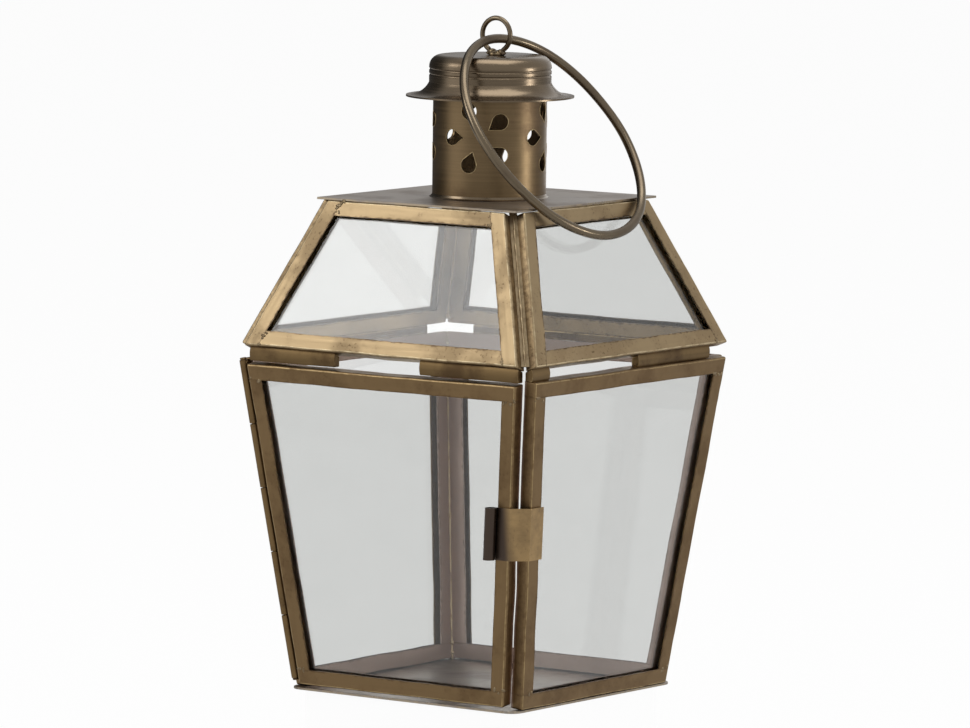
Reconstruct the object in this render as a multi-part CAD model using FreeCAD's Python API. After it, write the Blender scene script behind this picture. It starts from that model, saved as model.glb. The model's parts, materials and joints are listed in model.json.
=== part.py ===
import FreeCAD, Part

import math
import os

from FreeCAD import Matrix, Placement, Rotation, Vector

# Candle lantern, in millimetres and degrees: +Z up, standing on z = 0, with its door towards -Y.

# Base plate
base_overhang = 0.0  # beyond the foot of the body
base_thick = 0.8
base_corner_radius = 5.0

# Glazed body, which widens upwards
body_foot_half = 50.0  # from the middle to the outer faces at the foot
body_head_half = 64.6
body_height = 119.0

# Glazed roof, which narrows upwards
eave_gap = 5.5  # open height between body and roof
eave_overhang = 0.4  # beyond the head of the body
roof_head_half = 43.8
roof_height = 51.9
hip_gap = 0.5  # each roof panel stops this far short of the hip

# Channel frames folded from sheet, with a pane in each
wall = 4.7  # depth of a channel
sheet = 0.5
rail_width = 5.7
stile_width = 6.5
glass_thick = 2.0
glass_bite = 3.0  # how far a pane reaches into the channels
solder_leg = 1.8  # width of the solder fillet in a corner

# Door in the front of the body
door_rise = 1.2  # clear height under the door
door_drop = 1.5  # from the top of the body down to the door
door_hinge_gap = 0.4
door_latch_gap_foot = 0.15
door_latch_gap_head = 0.7
door_stile_width = 5.7

# Hinge in the groove beside the door
knuckle_radius = 1.5
pin_radius = 0.75
pin_clearance = 0.1
pin_head_radius = 1.2
pin_head_length = 0.6
knuckle_count = 5
knuckle_gap = 0.4
hinge_foot_margin = 3.0  # from the foot of the body up to the lowest knuckle
hinge_head_margin = 0.3
leaf_thick = 0.8

# Latch clip: a strip on the door that wraps the corner and grips the fixed frame
clip_centre_height = 65.1
clip_height = 19.0
clip_thick = 0.6
clip_door_reach = 7.1  # flat part on the door
clip_side_reach = 7.0  # flat part on the fixed frame
clip_side_gap = 0.3
clip_curl_radius = 2.1
clip_curl_angle = 300.0

# Spacers under the eaves: each bar's distances from the left and right corners, as seen from outside
spacer_inset = 1.5
spacer_depth = 2.8
spacer_bulge = 0.5
spacer_door_gap = 1.2
front_spacers = ((6.2, 85.2), (81.2, 5.2))
right_spacers = ((4.2, 114.2), (69.7, 14.2))
back_spacers = ((16.2, 16.2),)
left_spacers = ((16.2, 16.2),)

# Top plate and chimney
plate_thick = 0.8
chimney_x = 0.6
chimney_y = 0.3
chimney_radius = 20.5
chimney_wall = 0.8
flue_radius = 18.0  # hole in the top plate
collar_width = 1.0
collar_height = 1.2

# Vents: groups of five drop-shaped holes round the chimney
flower_count = 4
flower_height = 22.3  # above the top plate
flower_turn = -67.1  # direction of the first group
petal_count = 5
petal_ring_radius = 9.1
petal_round_radius = 2.95
petal_length = 8.1

# Cap over the chimney
brim_height = 36.0  # above the top plate
brim_radius = 30.3
brim_flat = 1.6
cap_wall = 0.6
neck_height = 5.2  # above the brim, where the flare meets the side
flare_sag = 1.1  # hollow of the flare
cap_side_gap = 0.95  # between tube and cap side
cap_height = 15.0
cap_edge_radius = 4.2
cap_groove_heights = (8.0, 9.9)  # above the brim
cap_groove_half = 0.45
cap_groove_depth = 0.25
tube_end_gap = 0.1  # from the tube's rim to the cap

# Eye on the cap and the ring that hangs in it
eye_offset_x = 2.65  # from the chimney's axis
eye_offset_y = -0.3
eye_wire_radius = 0.9
eye_radius = 6.1  # to the middle of the wire
eye_rise = 7.3  # from the cap's crown up to the middle of the eye
saddle_radius = 3.4
saddle_height = 2.4
bail_wire_radius = 1.65
bail_radius = 42.3
bail_drop = 1.4  # from the middle of the eye down to the ring's wire
bail_rest_gap = 0.3  # between the ring and the edge of the top plate that it leans on

spare = 1.0  # by which cutting bodies run past what they cut

# Levels, widths and slopes that follow from the sizes above
roof_foot_half = body_head_half + eave_overhang
body_foot_z = base_thick
body_head_z = body_foot_z + body_height
roof_foot_z = body_head_z + eave_gap
roof_head_z = roof_foot_z + roof_height
plate_top_z = roof_head_z + plate_thick
brim_z = plate_top_z + brim_height
cap_top_z = brim_z + cap_height
body_lean = math.atan2(body_head_half - body_foot_half, body_height)
roof_lean = math.atan2(roof_head_half - roof_foot_half, roof_height)
eye_centre = Vector(chimney_x + eye_offset_x, chimney_y + eye_offset_y, cap_top_z + eye_rise)
bail_pivot = eye_centre - Vector(0, 0, bail_drop)
SIDES = (("front", 0), ("right", 90), ("back", 180), ("left", 270))
UP = Vector(0, 0, 1)


def half_at(z):
    """Distance from the middle to the body's outer faces at a height."""
    return body_foot_half + (z - body_foot_z) * math.tan(body_lean)


def turned(shape, angle):
    """A copy of the shape turned about the lantern's upright axis."""
    copy = shape.copy()
    copy.rotate(Vector(), UP, angle)
    return copy


def polygon(points):
    """A flat face through the points."""
    return Part.Face(Part.makePolygon(list(points) + [points[0]]))


def save(name, *shapes):
    """Write one sub-part, which may be a group of separate solids."""
    shape = shapes[0] if len(shapes) == 1 else Part.makeCompound(shapes)
    shape.exportStep(f"parts/{name}.step")
    print(f"{name}: {len(shape.Solids)} solid(s), {shape.Volume:.1f} mm3, valid {shape.isValid()}")


class Panel:
    """A glazed panel in its own plane: u along it, v up its slope, and the lantern's inside at -w."""

    def __init__(self, foot, head, height, foot_half, foot_z, lean, turn=0, stile_width=stile_width):
        self.stile_width = stile_width
        self.foot = foot
        self.head = head
        self.length = height / math.cos(lean)
        run = Vector(1, 0, 0)
        rise = Vector(0, -math.sin(lean), math.cos(lean))
        out = run.cross(rise)
        axes = Matrix(run.x, rise.x, out.x, 0, run.y, rise.y, out.y, -foot_half,
                      run.z, rise.z, out.z, foot_z, 0, 0, 0, 1)
        self.place = Placement(Vector(), Rotation(UP, turn)) * Placement(axes)

    def edge(self, side, inset, v):
        """The place along u of a line inset from the left (0) or right (1) edge, at v."""
        share = v / self.length
        at = self.foot[side] + (self.head[side] - self.foot[side]) * share
        return at + inset if side == 0 else at - inset

    def band(self, v0, v1, inset):
        """The points of a band right across the panel."""
        return [(self.edge(0, inset, v0), v0), (self.edge(1, inset, v0), v0),
                (self.edge(1, inset, v1), v1), (self.edge(0, inset, v1), v1)]

    def strip(self, side, v0, v1, near, far):
        """The points of a strip along one edge, from one inset to another."""
        return [(self.edge(side, near, v0), v0), (self.edge(side, far, v0), v0),
                (self.edge(side, far, v1), v1), (self.edge(side, near, v1), v1)]

    def plate(self, points, near, far):
        """A flat body with this outline, between two depths behind the outer face."""
        face = polygon([Vector(u, v, -far) for u, v in points])
        return face.extrude(Vector(0, 0, far - near))

    def channel(self, outline, slot):
        """A folded channel: the outline at full depth, less its slot."""
        return self.plate(outline, 0, wall).cut(self.plate(slot, sheet, wall - sheet))

    def rail(self, web, into, inset, end):
        """A channel along the foot (into = 1) or head (into = -1), open towards the glass."""
        lip = web + into * rail_width
        slot = self.band(web + into * sheet, lip + into * spare, inset + end)
        return self.channel(self.band(web, lip, inset), slot)

    def stile(self, side, v0, v1, end):
        """A channel up one edge, open towards the glass."""
        slot = self.strip(side, v0 + end, v1 - end, sheet, self.stile_width + spare)
        return self.channel(self.strip(side, v0, v1, 0, self.stile_width), slot)

    def pane(self):
        """The glass, standing on the web of the bottom rail."""
        near = (wall - glass_thick) / 2
        outline = self.band(sheet, self.length - rail_width + glass_bite, self.stile_width - glass_bite)
        return self.plate(outline, near, near + glass_thick)

    def pieces(self, rails_run_through):
        """The panel's four channels and its pane, in their places in the lantern."""
        if rails_run_through:
            inset, end = 0, sheet
            v0, v1, stile_end = rail_width, self.length - rail_width, -spare
        else:
            inset, end = self.stile_width, -spare
            v0, v1, stile_end = 0, self.length, sheet
        shapes = {
            "bottom_rail": self.rail(0, 1, inset, end),
            "top_rail": self.rail(self.length, -1, inset, end),
            "left_stile": self.stile(0, v0, v1, stile_end),
            "right_stile": self.stile(1, v0, v1, stile_end),
            "pane": self.pane(),
        }
        for shape in shapes.values():
            shape.Placement = self.place
        return shapes


def corner_inset(lean):
    """How far a panel's edge stays from the corner, so that two panels meet at their inner edges."""
    return wall * math.cos(lean)


def body_panel(turn):
    """One of the three fixed panels of the body."""
    foot = body_foot_half - corner_inset(body_lean)
    head = body_head_half - corner_inset(body_lean)
    return Panel((-foot, foot), (-head, head), body_height, body_foot_half, body_foot_z, body_lean, turn)


def door_panel():
    """The door, in the plane of the body's front."""
    foot_z = body_foot_z + door_rise
    head_z = body_head_z - door_drop
    inset = corner_inset(body_lean)
    foot = (-half_at(foot_z) + inset + door_hinge_gap, half_at(foot_z) - inset - door_latch_gap_foot)
    head = (-half_at(head_z) + inset + door_hinge_gap, half_at(head_z) - inset - door_latch_gap_head)
    return Panel(foot, head, head_z - foot_z, half_at(foot_z), foot_z, body_lean,
                 stile_width=door_stile_width)


def roof_panel(turn):
    """One of the four panels of the roof."""
    inset = corner_inset(roof_lean) + hip_gap
    foot = roof_foot_half - inset
    head = roof_head_half - inset
    return Panel((-foot, foot), (-head, head), roof_height, roof_foot_half, roof_foot_z, roof_lean, turn)


def corner_solder(foot_half, foot_z, height, lean, gap, turn):
    """The solder in the groove of a corner, bedded on the end walls of both panels."""
    along = Vector(-math.sin(lean) * math.tan(lean), math.cos(lean) + math.sin(lean) * math.tan(lean), 0)
    along.normalize()
    depth = wall / (along.y * math.cos(lean))
    ridge = Vector(foot_half - corner_inset(lean) - gap, -foot_half, foot_z)
    front = [ridge + along * (depth - solder_leg), ridge + along * depth]
    side = [Vector(-p.y, -p.x, p.z) for p in front]
    face = polygon([front[0], front[1], side[1], side[0]] if gap else [front[0], front[1], side[0]])
    rise = Vector(math.tan(lean) * height, -math.tan(lean) * height, height)
    return turned(face.extrude(rise), turn)


def base_plate():
    """The floor of the lantern, with rounded corners."""
    half = body_foot_half + base_overhang
    plate = Part.makeBox(2 * half, 2 * half, base_thick, Vector(-half, -half, 0))
    upright = [e for e in plate.Edges if abs(e.tangentAt(e.FirstParameter).z) > 0.9]
    return plate.makeFillet(base_corner_radius, upright)


def spacer(margins, turn, over_door):
    """A bar between body and roof, with a rounded outer side."""
    start, end = margins[0] - body_head_half, body_head_half - margins[1]
    foot_drop = -door_drop + spacer_door_gap if over_door else 0

    def low(y):
        return body_head_z + foot_drop + (0 if over_door else (y + body_head_half) * math.tan(body_lean))

    def high(y):
        return roof_foot_z + (y + roof_foot_half) * math.tan(roof_lean)

    near = -body_head_half + spacer_inset
    far = near + spacer_depth
    corners = [Vector(start, near, low(near)), Vector(start, far, low(far)),
               Vector(start, far, high(far)), Vector(start, near, high(near))]
    middle = (corners[0] + corners[3]) / 2 - Vector(0, spacer_bulge, 0)
    edges = [Part.LineSegment(a, b).toShape() for a, b in zip(corners, corners[1:])]
    edges.append(Part.Arc(corners[3], middle, corners[0]).toShape())
    return turned(Part.Face(Part.Wire(edges)).extrude(Vector(end - start, 0, 0)), turn)


def hinge_line():
    """The foot, direction and length of the hinge's axis, in the groove beside the door."""
    foot_z = body_foot_z + hinge_foot_margin
    head_z = body_head_z - hinge_head_margin
    ends = []
    for z in (foot_z, head_z):
        at = -half_at(z) + corner_inset(body_lean) / 2
        ends.append(Vector(at, at, z))
    axis = ends[1] - ends[0]
    length = axis.Length
    return ends[0], axis.normalize(), length


def hinge_place():
    """The placement of the hinge: its local Z runs up the axis, and its local X points at the door."""
    foot, axis, _ = hinge_line()
    across = Vector(1, 0, 0) - axis * axis.x
    across.normalize()
    side = axis.cross(across)
    return Placement(Matrix(across.x, side.x, axis.x, foot.x, across.y, side.y, axis.y, foot.y,
                            across.z, side.z, axis.z, foot.z, 0, 0, 0, 1))


def knuckle(index, carriers, gap):
    """One hinge knuckle with its leaf, which ends on the channels that carry it."""
    _, _, length = hinge_line()
    pitch = length / knuckle_count
    start = index * pitch + knuckle_gap / 2
    height = pitch - knuckle_gap
    barrel = Part.makeCylinder(knuckle_radius, height, Vector(0, 0, start))
    reach = corner_inset(body_lean) / 2 + gap + sheet / 2
    leaf = Part.makeBox(reach, leaf_thick, height, Vector(0, -leaf_thick / 2, start))
    if not gap:
        leaf.rotate(Vector(), UP, 90)
    bore = Part.makeCylinder(pin_radius + pin_clearance, height + 2 * spare, Vector(0, 0, start - spare))
    shape = barrel.fuse(leaf).cut(bore)
    shape.Placement = hinge_place()
    return max(shape.cut(carriers).Solids, key=lambda solid: solid.Volume)


def hinge_pin():
    """The pin through all knuckles, with a small head at each end."""
    _, _, length = hinge_line()
    pin = Part.makeCylinder(pin_radius, length + 2 * spare, Vector(0, 0, -spare))
    for start in (-pin_head_length, length):
        pin = pin.fuse(Part.makeCylinder(pin_head_radius, pin_head_length, Vector(0, 0, start)))
    pin = pin.common(Part.makeCylinder(pin_head_radius, length + 2 * pin_head_length,
                                       Vector(0, 0, -pin_head_length)))
    pin.Placement = hinge_place()
    return pin.removeSplitter()


def latch_clip():
    """The spring strip: a curl and a flat on the door, a slant over the groove, a flat on the frame."""
    foot_z = clip_centre_height - clip_height / 2
    half = half_at(foot_z)
    inset = corner_inset(body_lean)
    share = (clip_centre_height - body_foot_z) / body_height
    latch_gap = door_latch_gap_foot + (door_latch_gap_head - door_latch_gap_foot) * share
    ridge_x = half - inset - latch_gap
    start = ridge_x - clip_door_reach
    bend = Vector(ridge_x + clip_side_gap, -half, foot_z)
    side_x = half + clip_side_gap
    turn = Vector(side_x, -half + inset - clip_side_gap, foot_z)
    end_y = -half + inset + clip_side_reach
    slant = math.atan2(turn.y - bend.y, turn.x - bend.x)
    bend_shift = clip_thick * math.tan(slant / 2)
    turn_shift = clip_thick * math.tan((math.pi / 2 - slant) / 2)
    strip = polygon([
        Vector(start, -half, foot_z), bend, turn, Vector(side_x, end_y, foot_z),
        Vector(side_x + clip_thick, end_y, foot_z),
        Vector(side_x + clip_thick, turn.y - turn_shift, foot_z),
        Vector(bend.x + bend_shift, -half - clip_thick, foot_z),
        Vector(start, -half - clip_thick, foot_z),
    ])
    lean = math.tan(body_lean) * clip_height
    rise = Vector(lean, -lean, clip_height)
    centre = Vector(start, -half - clip_curl_radius, foot_z)
    return strip.extrude(rise).fuse(curl(centre).extrude(rise)).removeSplitter()


def curl(centre):
    """The section of the rolled finger end: a thick arc that starts on the strip's flat."""
    radii = (clip_curl_radius, clip_curl_radius - clip_thick)

    def at(radius, angle):
        turn = math.radians(angle)
        return centre + Vector(-radius * math.sin(turn), radius * math.cos(turn), 0)

    arcs = [Part.Arc(at(r, 0), at(r, clip_curl_angle / 2), at(r, clip_curl_angle)).toShape() for r in radii]
    ends = [Part.LineSegment(at(radii[0], a), at(radii[1], a)).toShape() for a in (0, clip_curl_angle)]
    return Part.Face(Part.Wire(Part.__sortEdges__(arcs + ends)))


def chimney_axis(z):
    """A point on the chimney's axis."""
    return Vector(chimney_x, chimney_y, z)


def top_plate():
    """The flat plate on the roof, with the flue hole under the chimney."""
    plate = Part.makeBox(2 * roof_head_half, 2 * roof_head_half, plate_thick,
                         Vector(-roof_head_half, -roof_head_half, roof_head_z))
    hole = Part.makeCylinder(flue_radius, plate_thick + 2 * spare, chimney_axis(roof_head_z - spare))
    return plate.cut(hole)


def petal(group, index):
    """A cutter for one drop-shaped hole: its round end outwards, its point at the group's middle."""
    angle = math.pi + 2 * math.pi * index / petal_count
    arc_away = petal_ring_radius * math.cos(angle)
    tip = petal_length - petal_round_radius
    touch = math.acos(petal_round_radius / tip)
    offset = petal_length / 2 - petal_round_radius

    def at(radius, turn):
        away = offset + radius * math.cos(turn)
        across = radius * math.sin(turn)
        return Vector(0, away * math.cos(angle) - across * math.sin(angle),
                      away * math.sin(angle) + across * math.cos(angle))

    point = at(-tip, 0)
    ends = [at(petal_round_radius, math.pi - touch), at(petal_round_radius, -math.pi + touch)]
    wire = Part.Wire([
        Part.LineSegment(point, ends[0]).toShape(),
        Part.Arc(ends[0], at(petal_round_radius, 0), ends[1]).toShape(),
        Part.LineSegment(ends[1], point).toShape(),
    ])
    cutter = Part.Face(wire).extrude(Vector(chimney_radius, 0, 0))
    turn = flower_turn + group * 360 / flower_count + math.degrees(arc_away / chimney_radius)
    height = plate_top_z + flower_height + petal_ring_radius * math.sin(angle)
    cutter.translate(Vector(flue_radius / 2, 0, 0))
    cutter.rotate(Vector(), UP, turn)
    cutter.translate(chimney_axis(height))
    return cutter


def chimney_tube():
    """The flue tube, pierced with its groups of petals. The cap's rounded shoulder sits on its rim."""
    inner_edge = cap_edge_radius - cap_wall
    run = max(inner_edge - cap_side_gap, 0)
    drop = inner_edge - math.sqrt(inner_edge ** 2 - run ** 2)
    height = cap_top_z - cap_wall - drop - tube_end_gap - plate_top_z
    tube = Part.makeCylinder(chimney_radius, height, chimney_axis(plate_top_z))
    bore = Part.makeCylinder(chimney_radius - chimney_wall, height + 2 * spare, chimney_axis(plate_top_z - spare))
    petals = [petal(group, index) for group in range(flower_count) for index in range(petal_count)]
    return tube.cut(bore).cut(petals)


def revolved(points):
    """A ring about the chimney's axis from the (radius, height) outline of its section."""
    face = polygon([Vector(chimney_x + r, chimney_y, z) for r, z in points])
    return face.revolve(chimney_axis(0), UP, 360)


def chimney_collar():
    """The solder collar round the foot of the tube."""
    return revolved([(chimney_radius, plate_top_z), (chimney_radius + collar_width, plate_top_z),
                     (chimney_radius + collar_width / 3, plate_top_z + collar_height / 3),
                     (chimney_radius, plate_top_z + collar_height)])


def cap_outline(skin):
    """The edges of the cap's section from brim to crown, a given depth below the outer skin."""
    side = chimney_radius + cap_side_gap + cap_wall - skin
    edge = cap_edge_radius - skin

    def at(r, z):
        return Vector(chimney_x + r, chimney_y, z)

    brim = at(brim_radius, brim_z + cap_wall - skin)
    flat = at(brim_radius - brim_flat, brim_z + cap_wall - skin)
    neck = at(side, brim_z + neck_height)
    hollow = Vector(flat.z - neck.z, 0, neck.x - flat.x).normalize() * flare_sag
    edges = [Part.LineSegment(brim, flat).toShape(),
             Part.Arc(flat, (flat + neck) / 2 + hollow, neck).toShape()]
    last = neck
    for groove in cap_groove_heights:
        z = brim_z + groove
        start, end = at(side, z - cap_groove_half), at(side, z + cap_groove_half)
        bottom = at(side - cap_groove_depth, z)
        edges += [Part.LineSegment(last, start).toShape(), Part.Arc(start, bottom, end).toShape()]
        last = end
    crown_z = cap_top_z - skin
    shoulder = at(side, cap_top_z - cap_edge_radius)
    rim = at(side - edge, crown_z)
    bevel = edge * (1 - math.sqrt(0.5))
    edges += [Part.LineSegment(last, shoulder).toShape(),
              Part.Arc(shoulder, at(side - bevel, crown_z - bevel), rim).toShape(),
              Part.LineSegment(rim, at(0, crown_z)).toShape()]
    return edges


def chimney_cap():
    """The spun cap: a domed top with two grooves that grip the tube, and a flared brim."""
    outer, inner = cap_outline(0), cap_outline(cap_wall)
    ends = [Part.LineSegment(outer[0].Vertexes[0].Point, inner[0].Vertexes[0].Point).toShape(),
            Part.LineSegment(outer[-1].Vertexes[-1].Point, inner[-1].Vertexes[-1].Point).toShape()]
    wire = Part.Wire(Part.__sortEdges__(outer + inner + ends))
    return Part.Face(wire).revolve(chimney_axis(0), -UP, 360)


def eye_ring():
    """The wire eye, standing in the plane of the lantern's front."""
    return Part.makeTorus(eye_radius, eye_wire_radius, eye_centre, Vector(0, 1, 0))


def eye_saddle(eye):
    """The lump of solder that holds the eye on the cap."""
    foot = Vector(eye_centre.x, eye_centre.y, cap_top_z)
    lump = Part.makeCone(saddle_radius, saddle_radius / 2, saddle_height, foot)
    return lump.cut(eye)


def bail_lean():
    """The angle from straight down at which the ring leans on the top plate's +X edge."""
    across = roof_head_half - bail_pivot.x
    down = bail_pivot.z - plate_top_z
    return math.atan2(across, down) + math.asin((bail_wire_radius + bail_rest_gap) / math.hypot(across, down))


def bail_ring():
    """The hanging ring, leaning down towards +X."""
    lean = bail_lean()
    down = Vector(math.sin(lean), 0, -math.cos(lean))
    return Part.makeTorus(bail_radius, bail_wire_radius, bail_pivot + down * bail_radius,
                          down.cross(Vector(0, 1, 0)))


def main():
    """Build every sub-part and write it under its own name."""
    os.makedirs("parts", exist_ok=True)
    save("base_plate", base_plate())

    door = door_panel().pieces(True)
    names = {"left_stile": "hinge_stile", "right_stile": "latch_stile"}
    for name, shape in door.items():
        save(f"door_{names.get(name, name)}", shape)

    body = {}
    for side, turn in SIDES[1:]:
        body[side] = body_panel(turn).pieces(True)
        for name, shape in body[side].items():
            save(f"{side}_{name}", shape)
    for side, turn in SIDES:
        for name, shape in roof_panel(turn).pieces(False).items():
            save(f"roof_{side}_{name}", shape)

    save("body_corner_solder", *[
        corner_solder(body_foot_half, body_foot_z, body_height, body_lean, 0, turn) for turn in (90, 180)])
    save("roof_hip_solder", *[
        corner_solder(roof_foot_half, roof_foot_z, roof_height, roof_lean, hip_gap, turn)
        for _, turn in SIDES])
    for (side, turn), bars in zip(SIDES, (front_spacers, right_spacers, back_spacers, left_spacers)):
        save(f"eave_spacer_{side}", *[spacer(bar, turn, side == "front") for bar in bars])

    frame = [body["left"][name] for name in ("right_stile", "bottom_rail", "top_rail")]
    save("frame_knuckles", *[knuckle(i, frame, 0) for i in range(0, knuckle_count, 2)])
    hung = [door["left_stile"]]
    save("door_knuckles", *[knuckle(i, hung, door_hinge_gap) for i in range(1, knuckle_count, 2)])
    save("hinge_pin", hinge_pin())
    save("latch_clip", latch_clip())

    save("top_plate", top_plate())
    save("chimney_collar", chimney_collar())
    save("chimney_tube", chimney_tube())
    save("chimney_cap", chimney_cap())
    eye = eye_ring()
    save("eye_ring", eye)
    save("eye_saddle", eye_saddle(eye))
    save("bail_ring", bail_ring())

    foot, axis, length = hinge_line()
    print("hinge foot", foot, "axis", axis, "length", length)
    print("bail pivot", bail_pivot, "lean", math.degrees(bail_lean()))


main()
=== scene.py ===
"""Looks of a candle lantern: aged brass frames, solder, window glass, chimney, ring and studio."""

import json
import logging
import math
import random
from dataclasses import dataclass, field
from enum import Enum
from typing import Callable, Iterable, Sequence

import bmesh
import bpy
from mathutils import Matrix, Vector, noise

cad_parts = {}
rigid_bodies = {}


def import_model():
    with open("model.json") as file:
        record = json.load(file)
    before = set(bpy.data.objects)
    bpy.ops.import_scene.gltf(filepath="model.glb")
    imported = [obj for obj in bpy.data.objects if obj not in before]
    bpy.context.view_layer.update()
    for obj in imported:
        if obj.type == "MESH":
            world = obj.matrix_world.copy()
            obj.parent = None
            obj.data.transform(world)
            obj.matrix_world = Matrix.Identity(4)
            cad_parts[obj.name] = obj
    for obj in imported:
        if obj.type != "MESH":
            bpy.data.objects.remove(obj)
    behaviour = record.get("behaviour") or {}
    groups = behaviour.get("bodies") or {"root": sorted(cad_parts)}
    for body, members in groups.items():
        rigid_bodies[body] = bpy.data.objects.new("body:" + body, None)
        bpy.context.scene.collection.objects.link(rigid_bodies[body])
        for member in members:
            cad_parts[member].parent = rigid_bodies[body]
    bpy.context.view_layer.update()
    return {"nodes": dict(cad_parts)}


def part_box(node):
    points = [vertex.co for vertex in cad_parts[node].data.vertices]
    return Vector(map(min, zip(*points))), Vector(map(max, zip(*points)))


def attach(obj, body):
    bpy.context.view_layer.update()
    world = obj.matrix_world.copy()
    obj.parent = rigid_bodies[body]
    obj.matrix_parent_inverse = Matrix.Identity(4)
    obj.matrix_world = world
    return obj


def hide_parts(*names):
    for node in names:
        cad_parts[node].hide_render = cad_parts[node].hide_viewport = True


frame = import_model()

MM = 0.001
UP = Vector((0, 0, 1))
EAVES_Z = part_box("roof_front_pane")[0].z
PANEL_MIDDLE = [sum(corner.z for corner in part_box(pane)) / 2
                for pane in ("door_pane", "roof_front_pane")]
SHARP_TURN = 0.6  # radians by which an edge has to turn to count as an edge of the sheet
NOISE_SEED = 7  # without a seed, noise_vector follows the clock and every run differs
LOG = logging.getLogger("lantern")
Colour = tuple[float, float, float]


def srgb(red: int, green: int, blue: int) -> Colour:
    """Turn a colour as seen on screen into the linear one that the shader wants.

    Args:
        red: 0 to 255.
        green: 0 to 255.
        blue: 0 to 255.

    Returns:
        The linear colour.
    """
    def linear(value: int) -> float:
        """One channel, made linear."""
        share = value / 255
        return share / 12.92 if share <= 0.04045 else ((share + 0.055) / 1.055) ** 2.4

    return linear(red), linear(green), linear(blue)


class Sock:
    """A socket of a shader graph, for use in expressions."""

    def __init__(self, graph: "Graph", socket: bpy.types.NodeSocket) -> None:
        """Remember the graph and the socket."""
        self.graph = graph
        self.socket = socket

    def __add__(self, other: "Sock | float") -> "Sock":
        """Sum."""
        return self.graph.math("ADD", self, other)

    __radd__ = __add__

    def __sub__(self, other: "Sock | float") -> "Sock":
        """Difference."""
        return self.graph.math("SUBTRACT", self, other)

    def __rsub__(self, other: "Sock | float") -> "Sock":
        """Difference the other way round."""
        return self.graph.math("SUBTRACT", other, self)

    def __mul__(self, other: "Sock | float") -> "Sock":
        """Product."""
        return self.graph.math("MULTIPLY", self, other)

    __rmul__ = __mul__

    def step(self, low: float, high: float) -> "Sock":
        """A smooth step.

        Args:
            low: Where it leaves 0.
            high: Where it reaches 1.

        Returns:
            The step.
        """
        settings = {"interpolation_type": "SMOOTHSTEP"}
        return self.graph.node("ShaderNodeMapRange", settings, {0: self, 1: low, 2: high})


class Graph:
    """The node tree of one material or world."""

    def __init__(self, tree: bpy.types.NodeTree) -> None:
        """Start from an empty tree."""
        self.tree = tree
        tree.nodes.clear()

    def node(self, kind: str, settings: dict | None = None, values: dict | None = None,
             output: int | str = 0) -> Sock:
        """Add a node.

        Args:
            kind: The node's type.
            settings: Its properties, set first.
            values: Numbers, colours or Socks by input name or number.
            output: Which output is wanted.

        Returns:
            That output.
        """
        made = self.tree.nodes.new(kind)
        for key, value in (settings or {}).items():
            setattr(made, key, value)
        for key, value in (values or {}).items():
            if isinstance(value, Sock):
                self.tree.links.new(value.socket, made.inputs[key])
            else:
                made.inputs[key].default_value = value
        return Sock(self, made.outputs[output] if made.outputs else None)

    def math(self, operation: str, *values: "Sock | float") -> Sock:
        """A Math node.

        Args:
            operation: What it does.
            values: Its inputs in order.

        Returns:
            Its result.
        """
        return self.node("ShaderNodeMath", {"operation": operation}, dict(enumerate(values)))

    def mix(self, factor: "Sock | float", first: "Sock | Colour", second: "Sock | Colour") -> Sock:
        """A blend of two colours.

        Args:
            factor: 0 for the first colour, 1 for the second.
            first: A colour.
            second: Another colour.

        Returns:
            The blend.
        """
        values = {0: factor}
        for key, colour in ((6, first), (7, second)):
            values[key] = colour if isinstance(colour, Sock) else (*colour, 1)
        return self.node("ShaderNodeMix", {"data_type": "RGBA"}, values, 2)

    def scaled(self, vector: Sock, scale: "Sequence[float] | Sock") -> Sock:
        """A vector or colour made larger or smaller.

        Args:
            vector: The vector or colour.
            scale: Three numbers, or one Sock for all three.

        Returns:
            The product.
        """
        if isinstance(scale, Sock):
            operation, values = "SCALE", {0: vector, "Scale": scale}
        else:
            operation, values = "MULTIPLY", {0: vector, 1: tuple(scale)}
        return self.node("ShaderNodeVectorMath", {"operation": operation}, values)

    def along(self, vector: Sock, direction: Sequence[float]) -> Sock:
        """How far a vector points along a direction.

        Args:
            vector: The vector.
            direction: The direction.

        Returns:
            Their dot product.
        """
        values = {0: vector, 1: direction}
        return self.node("ShaderNodeVectorMath", {"operation": "DOT_PRODUCT"}, values, "Value")

    def attribute(self, name: str, output: str = "Fac") -> Sock:
        """A value that the mesh carries.

        Args:
            name: The attribute's name.
            output: "Fac" for a number, "Vector" for a vector.

        Returns:
            The value.
        """
        return self.node("ShaderNodeAttribute", {"attribute_name": name}, None, output)

    def object_place(self) -> Sock:
        """Where the shaded point lies in the object's own coordinates."""
        return self.node("ShaderNodeTexCoord", None, None, "Object")

    def noise(self, vector: Sock, scale: float, detail: float = 3.0, rough: float = 0.55) -> Sock:
        """Noise between 0 and 1.

        Args:
            vector: The place.
            scale: How many features fit into a metre.
            detail: How many finer layers it has.
            rough: How strong the finer layers are.

        Returns:
            The noise.
        """
        values = {"Vector": vector, "Scale": scale, "Detail": detail, "Roughness": rough}
        return self.node("ShaderNodeTexNoise", None, values)

    def end(self, kind: str, shader: Sock) -> None:
        """Link a shader to the tree's output.

        Args:
            kind: The type of the output node.
            shader: The shader.
        """
        out = self.tree.nodes.new(kind)
        self.tree.links.new(shader.socket, out.inputs["Surface"])


class Coords(Enum):
    """What a finish's patterns follow."""

    FLOW = "flow"
    OBJECT = "object"


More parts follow.
